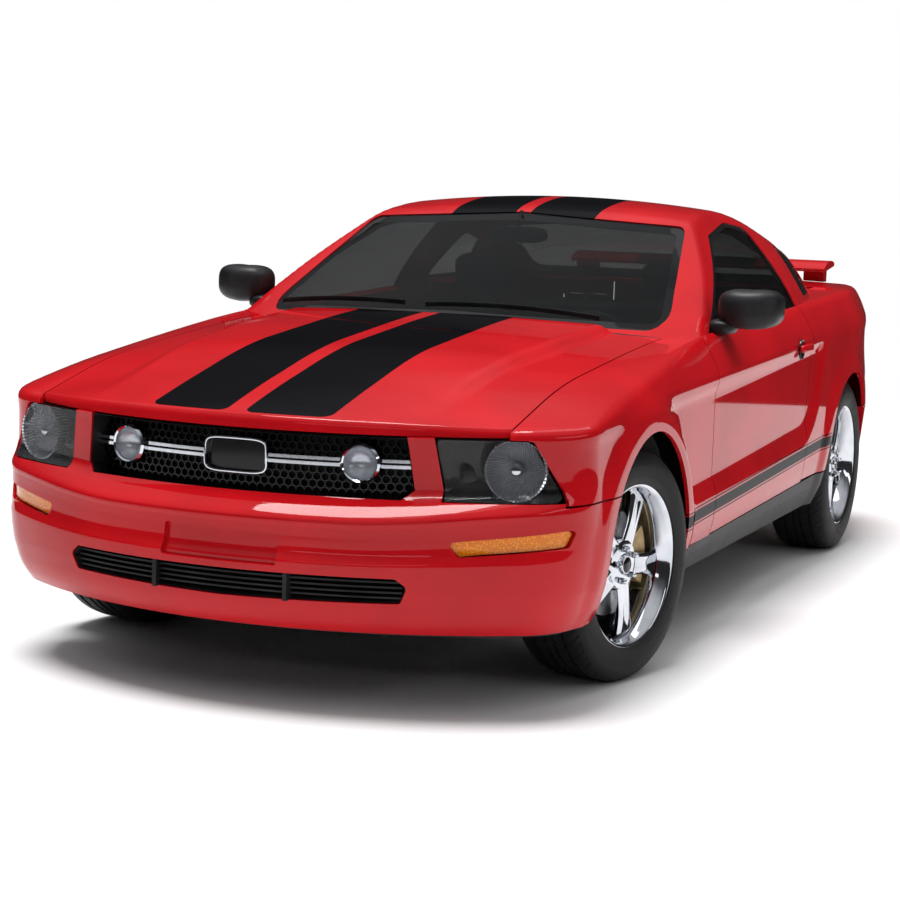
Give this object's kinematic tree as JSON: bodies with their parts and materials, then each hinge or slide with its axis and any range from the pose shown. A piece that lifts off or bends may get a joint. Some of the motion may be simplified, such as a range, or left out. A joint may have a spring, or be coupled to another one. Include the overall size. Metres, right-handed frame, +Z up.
{
  "type": "two-door muscle car",
  "caption": "Full-size two-door fastback coupe with twin body stripes, steered front wheels, opening doors, hood and deck lid",
  "frame": {"origin": "on the ground under the middle of the car's outline", "axes": "+X forward, +Y to the car's left, +Z up"},
  "size_m": [4.765, 2.1, 1.407],
  "materials": {
    "red_paint": "gloss red",
    "black_trim": "satin black",
    "grille_black": "black with bright frame",
    "lamp_glass": "clear lens",
    "tail_lamp_red": "red lens",
    "window_glass": "lightly tinted",
    "underbody": "dark primer",
    "chassis_steel": "dark",
    "engine_block": "cast",
    "exhaust_steel": "stainless",
    "wheel_chrome": "bright",
    "tyre_rubber": "black rubber",
    "seat_leather": "dark charcoal",
    "dash_plastic": "dark charcoal"
  },
  "bodies": {
    "shell": {"floor_pan": "underbody", "sills": "black_trim", "roof": "red_paint", "left_fender": "red_paint", "right_fender": "red_paint", "left_quarter": "red_paint", "right_quarter": "red_paint", "front_bumper": "red_paint", "rear_bumper": "red_paint", "grille": "grille_black", "front_lamps": "lamp_glass", "tail_lamps": "tail_lamp_red", "cowl": "black_trim", "quarter_windows": "window_glass", "windscreen": "window_glass", "rear_window": "window_glass", "front_subframe": "chassis_steel", "rear_axle": "chassis_steel", "engine": "engine_block", "driveshaft": "chassis_steel", "exhaust": "exhaust_steel", "fuel_tank": "chassis_steel", "dashboard": "dash_plastic", "steering_wheel": "dash_plastic", "front_seats": "seat_leather", "rear_seat": "seat_leather"},
    "hood": {"hood": "red_paint"},
    "deck_lid": {"deck_lid": "red_paint", "spoiler": "red_paint"},
    "left_door": {"left_door": "red_paint", "left_door_glass": "window_glass", "left_mirror": "black_trim"},
    "right_door": {"right_door": "red_paint", "right_door_glass": "window_glass", "right_mirror": "black_trim"},
    "left_knuckle": {"left_knuckle": "chassis_steel"},
    "right_knuckle": {"right_knuckle": "chassis_steel"},
    "front_left_wheel": {"front_left_wheel": "wheel_chrome", "front_left_tyre": "tyre_rubber"},
    "front_right_wheel": {"front_right_wheel": "wheel_chrome", "front_right_tyre": "tyre_rubber"},
    "rear_left_wheel": {"rear_left_wheel": "wheel_chrome", "rear_left_tyre": "tyre_rubber"},
    "rear_right_wheel": {"rear_right_wheel": "wheel_chrome", "rear_right_tyre": "tyre_rubber"}
  },
  "joints": [
    {"name": "left_steer", "type": "hinge", "parent": "shell", "child": "left_knuckle", "pos_m": [1.4275, 0.735, 0.205], "axis": [0, -0.2581, 0.9661], "range_deg": [-21, 45]},
    {"name": "right_steer", "type": "hinge", "parent": "shell", "child": "right_knuckle", "pos_m": [1.4275, -0.735, 0.205], "axis": [0, 0.2581, 0.9661], "range_deg": [-21, 45]},
    {"name": "front_left_spin", "type": "hinge", "parent": "left_knuckle", "child": "front_left_wheel", "pos_m": [1.44617, 0.7881, 0.34649], "axis": [0.2009, 0.9796, -0.0054], "continuous": true},
    {"name": "front_right_spin", "type": "hinge", "parent": "right_knuckle", "child": "front_right_wheel", "pos_m": [1.40883, -0.7881, 0.34649], "axis": [0.2009, 0.9796, 0.0054], "continuous": true},
    {"name": "rear_left_spin", "type": "hinge", "parent": "shell", "child": "rear_left_wheel", "pos_m": [-1.2925, 0.794, 0.346], "axis": [0, 1, 0], "continuous": true},
    {"name": "rear_right_spin", "type": "hinge", "parent": "shell", "child": "rear_right_wheel", "pos_m": [-1.2925, -0.794, 0.346], "axis": [0, 1, 0], "continuous": true},
    {"name": "left_door_hinge", "type": "hinge", "parent": "shell", "child": "left_door", "pos_m": [0.66, 0.915, 0.6], "axis": [0, 0, -1], "range_deg": [0, 65]},
    {"name": "right_door_hinge", "type": "hinge", "parent": "shell", "child": "right_door", "pos_m": [0.66, -0.915, 0.6], "axis": [0, 0, 1], "range_deg": [0, 65]},
    {"name": "hood_hinge", "type": "hinge", "parent": "shell", "child": "hood", "pos_m": [0.745, 0, 0.968], "axis": [0, -1, 0], "range_deg": [0, 50]},
    {"name": "deck_lid_hinge", "type": "hinge", "parent": "shell", "child": "deck_lid", "pos_m": [-1.7455, 0, 1.062], "axis": [0, 1, 0], "range_deg": [0, 70]}
  ],
  "couplings": [
    {"joint": "right_steer", "follows": "left_steer", "ratio": 1}
  ]
}
